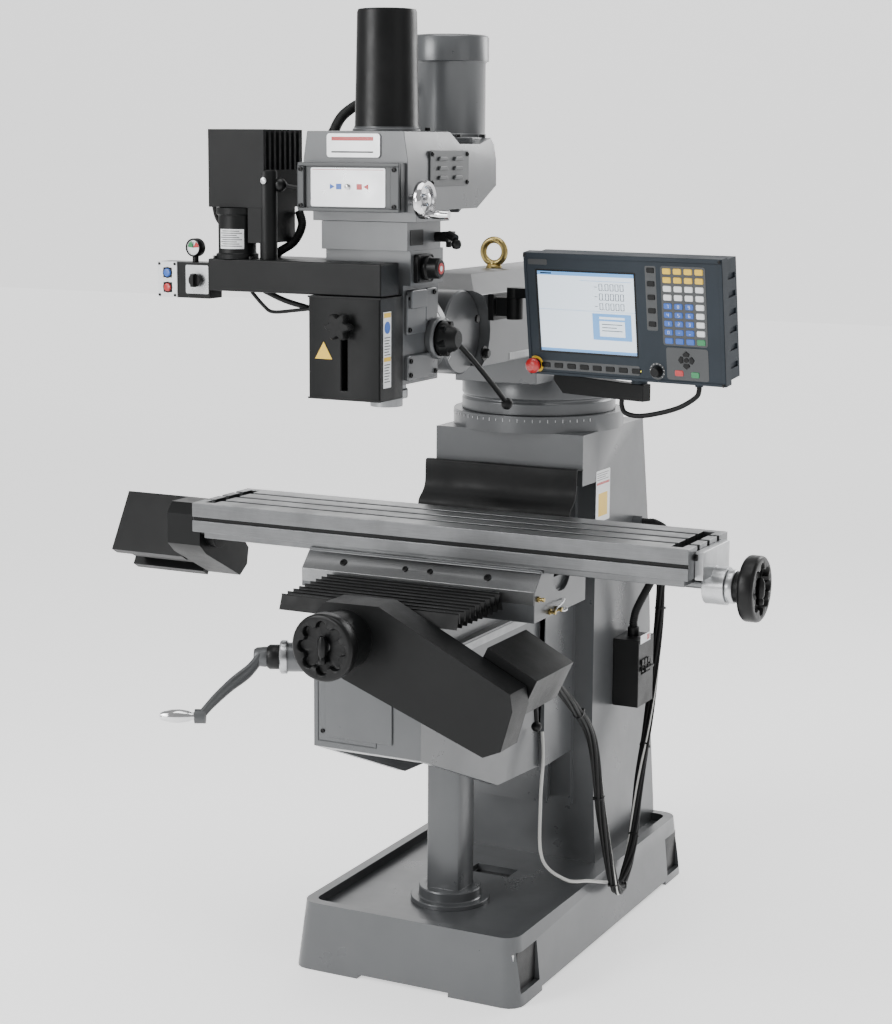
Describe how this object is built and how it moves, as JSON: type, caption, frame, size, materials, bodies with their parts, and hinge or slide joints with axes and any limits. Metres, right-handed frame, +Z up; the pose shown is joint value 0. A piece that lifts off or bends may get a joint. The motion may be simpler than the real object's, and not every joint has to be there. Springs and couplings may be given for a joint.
{
  "type": "vertical knee milling machine",
  "caption": "Vertical knee milling machine with swivelling ram head, servo driven axes, hand wheels and a pendant control console.",
  "frame": {"origin": "floor plane, centre of the footprint of the whole machine with its table at rest", "axes": "X along the table to the operator's right, Y from the operator to the column, Z up"},
  "size_m": [1.7405, 1.4818, 2.2303],
  "materials": {
    "paint": "satin metallic gray paint over iron castings",
    "black_paint": "satin black powder coat",
    "steel": "ground and scraped steel",
    "aluminium": "turned bright metal",
    "cast": "painted or bare iron",
    "brass": "yellow passivated steel",
    "rubber": "matt black rubber",
    "black_plastic": "matt black plastic",
    "console_plastic": "blue gray fine textured",
    "light_plastic": "light gray cable jacket",
    "red_plastic": "gloss red plastic",
    "blue_plastic": "gloss blue plastic"
  },
  "bodies": {
    "base": {"base_column": "paint", "pedestal": "paint", "chip_guard": "rubber", "breaker_box": "black_plastic", "breaker_conduit": "rubber", "servo_cable_bundle": "rubber", "thin_cable": "light_plastic"},
    "breaker_lever": {"breaker_toggle": "black_plastic"},
    "knee": {"knee_casting": "paint", "knee_front_panel": "paint", "y_belt_cover": "black_paint", "y_servo_motor": "black_paint", "y_servo_amplifier": "black_paint", "way_bellows": "rubber"},
    "lift_screw": {"elevating_screw": "steel"},
    "crank": {"knee_crank": "cast"},
    "crank_handle": {"crank_grip": "aluminium"},
    "knee_lock": {"knee_lock_lever": "black_plastic"},
    "cross_screw": {"y_screw": "steel", "y_handwheel": "black_plastic"},
    "cross_handle": {"y_wheel_handle": "black_plastic"},
    "saddle_slide_body": {"saddle": "paint"},
    "table_body": {"table": "steel", "x_end_bracket": "aluminium", "x_belt_cover": "black_paint", "x_servo_motor": "black_paint", "x_servo_amplifier": "black_paint"},
    "long_screw": {"x_screw": "steel", "x_handwheel": "black_plastic"},
    "long_handle": {"x_wheel_handle": "black_plastic"},
    "turret_body": {"turret": "paint"},
    "ram_body": {"ram": "paint", "lifting_eyebolt": "brass", "console_bracket": "black_paint"},
    "adapter": {"ram_adapter": "paint"},
    "head": {"quill_housing": "paint", "belt_housing": "paint", "speed_dial_plate": "cast", "drawbar_cover": "black_plastic", "spindle_motor": "paint", "z_belt_housing": "black_paint", "z_servo_motor": "black_paint", "z_servo_amplifier": "black_paint", "quill_front_cover": "black_paint", "switch_box": "black_plastic"},
    "quill_body": {"quill": "steel"},
    "quill_knob": {"quill_clamp_knob": "black_plastic"},
    "spindle_body": {"spindle": "steel"},
    "feed_lever": {"quill_feed_lever": "black_paint"},
    "speed_crank": {"speed_wheel": "aluminium"},
    "range_lever": {"gear_lever": "black_plastic"},
    "start": {"start_button": "blue_plastic"},
    "stop": {"stop_button": "red_plastic"},
    "selector": {"selector_knob": "black_plastic"},
    "arm_1": {"console_arm_1": "black_paint"},
    "arm_2": {"console_arm_2": "black_paint", "console_cable": "rubber"},
    "console": {"console_housing": "console_plastic"},
    "estop": {"estop_button": "red_plastic"},
    "override": {"override_knob": "black_plastic"}
  },
  "joints": [
    {"name": "breaker_toggle_hinge", "type": "hinge", "parent": "base", "child": "breaker_lever", "pos_m": [0.347, 0.4825, 0.622], "axis": [0, 1, 0], "range_deg": [-20, 20]},
    {"name": "knee_slide", "type": "slide", "parent": "base", "child": "knee", "axis": [0, 0, -1], "range_m": [-0.231, 0.175], "deforming": ["chip_guard", "servo_cable_bundle", "thin_cable"]},
    {"name": "lift_screw_turn", "type": "hinge", "parent": "knee", "child": "lift_screw", "pos_m": [0.085, -0.098, 0.5], "axis": [0, 0, 1], "continuous": true},
    {"name": "knee_crank_turn", "type": "hinge", "parent": "knee", "child": "crank", "pos_m": [-0.115, -0.523, 0.81], "axis": [-0.8984, -0.4392, 0], "continuous": true},
    {"name": "crank_grip_spin", "type": "hinge", "parent": "crank", "child": "crank_handle", "pos_m": [-0.235, -0.7, 0.7], "axis": [-0.8984, -0.4392, 0], "continuous": true},
    {"name": "knee_lock_hinge", "type": "hinge", "parent": "knee", "child": "knee_lock", "pos_m": [0.23, 0.047, 0.64], "axis": [1, 0, 0], "range_deg": [-30, 30]},
    {"name": "saddle_slide", "type": "slide", "parent": "knee", "child": "saddle_slide_body", "axis": [0, 1, 0], "range_m": [-0.17, 0.135], "deforming": ["way_bellows"]},
    {"name": "cross_screw_turn", "type": "hinge", "parent": "knee", "child": "cross_screw", "pos_m": [0.085, -0.6, 0.894], "axis": [0, 1, 0], "continuous": true},
    {"name": "cross_handle_fold", "type": "hinge", "parent": "cross_screw", "child": "cross_handle", "pos_m": [0.085, -0.7165, 0.866], "axis": [1, 0, 0], "range_deg": [0, 90]},
    {"name": "table_slide", "type": "slide", "parent": "saddle_slide_body", "child": "table_body", "axis": [1, 0, 0], "range_m": [-0.355, 0.295]},
    {"name": "long_screw_turn", "type": "hinge", "parent": "table_body", "child": "long_screw", "pos_m": [0.7, -0.143, 0.992], "axis": [1, 0, 0], "continuous": true},
    {"name": "long_handle_fold", "type": "hinge", "parent": "long_screw", "child": "long_handle", "pos_m": [0.8585, -0.143, 0.964], "axis": [0, 1, 0], "range_deg": [0, 90]},
    {"name": "turret_swivel", "type": "hinge", "parent": "base", "child": "turret_body", "pos_m": [0.085, 0.39, 1.29], "axis": [0, 0, 1], "range_deg": [-90, 90]},
    {"name": "ram_slide", "type": "slide", "parent": "turret_body", "child": "ram_body", "axis": [0, 1, 0], "range_m": [-0.25, 0.2]},
    {"name": "head_nod", "type": "hinge", "parent": "ram_body", "child": "adapter", "pos_m": [0.085, -0.23, 1.53], "axis": [1, 0, 0], "range_deg": [-30, 45]},
    {"name": "head_tilt", "type": "hinge", "parent": "adapter", "child": "head", "pos_m": [0.085, -0.35, 1.53], "axis": [0, 1, 0], "range_deg": [-60, 25]},
    {"name": "quill_slide", "type": "slide", "parent": "head", "child": "quill_body", "axis": [0, 0, -1], "range_m": [0, 0.127]},
    {"name": "quill_knob_turn", "type": "hinge", "parent": "quill_body", "child": "quill_knob", "pos_m": [0.085, -0.638, 1.568], "axis": [0, 1, 0], "range_deg": [-90, 90]},
    {"name": "spindle_turn", "type": "hinge", "parent": "quill_body", "child": "spindle_body", "pos_m": [0.085, -0.43, 1.5], "axis": [0, 0, 1], "continuous": true},
    {"name": "feed_lever_turn", "type": "hinge", "parent": "head", "child": "feed_lever", "pos_m": [0.2, -0.37, 1.528], "axis": [1, 0, 0], "range_deg": [-245, 2]},
    {"name": "speed_wheel_turn", "type": "hinge", "parent": "head", "child": "speed_crank", "pos_m": [0.23, -0.555, 1.833], "axis": [1, 0, 0], "continuous": true},
    {"name": "range_lever_turn", "type": "hinge", "parent": "head", "child": "range_lever", "pos_m": [-0.045, -0.55, 1.85], "axis": [1, 0, 0], "range_deg": [-60, 60]},
    {"name": "start_press", "type": "slide", "parent": "head", "child": "start", "axis": [0, 1, 0], "range_m": [0, 0.004], "stiffness_N_per_m": 200},
    {"name": "stop_press", "type": "slide", "parent": "head", "child": "stop", "axis": [0, 1, 0], "range_m": [0, 0.004], "stiffness_N_per_m": 200},
    {"name": "selector_turn", "type": "hinge", "parent": "head", "child": "selector", "pos_m": [-0.287, -0.61, 1.652], "axis": [0, 1, 0], "range_deg": [-45, 45]},
    {"name": "arm_1_swivel", "type": "hinge", "parent": "ram_body", "child": "arm_1", "pos_m": [0.25, -0.12, 1.61], "axis": [0, 0, 1], "range_deg": [-10, 35]},
    {"name": "arm_2_swivel", "type": "hinge", "parent": "arm_1", "child": "arm_2", "pos_m": [0.385, -0.146, 1.58], "axis": [0, 0, 1], "range_deg": [-10, 30]},
    {"name": "console_swivel", "type": "hinge", "parent": "arm_2", "child": "console", "pos_m": [0.593, -0.212, 1.44], "axis": [0, 0, 1], "range_deg": [0, 20], "deforming": ["console_cable"]},
    {"name": "estop_press", "type": "slide", "parent": "console", "child": "estop", "axis": [0.1172, 0.9828, 0.1426], "range_m": [0, 0.006], "stiffness_N_per_m": 200},
    {"name": "override_turn", "type": "hinge", "parent": "console", "child": "override", "pos_m": [0.65895, -0.28945, 1.47142], "axis": [0.1172, 0.9828, 0.1426], "range_deg": [-135, 135]}
  ],
  "couplings": [
    {"joint": "lift_screw_turn", "follows": "knee_slide", "rad_per_m": 1236.8},
    {"joint": "knee_crank_turn", "follows": "knee_slide", "rad_per_m": 2473.7},
    {"joint": "cross_screw_turn", "follows": "saddle_slide", "rad_per_m": 1236.8},
    {"joint": "long_screw_turn", "follows": "table_slide", "rad_per_m": 1236.8},
    {"joint": "feed_lever_turn", "follows": "quill_slide", "rad_per_m": -33.3}
  ]
}
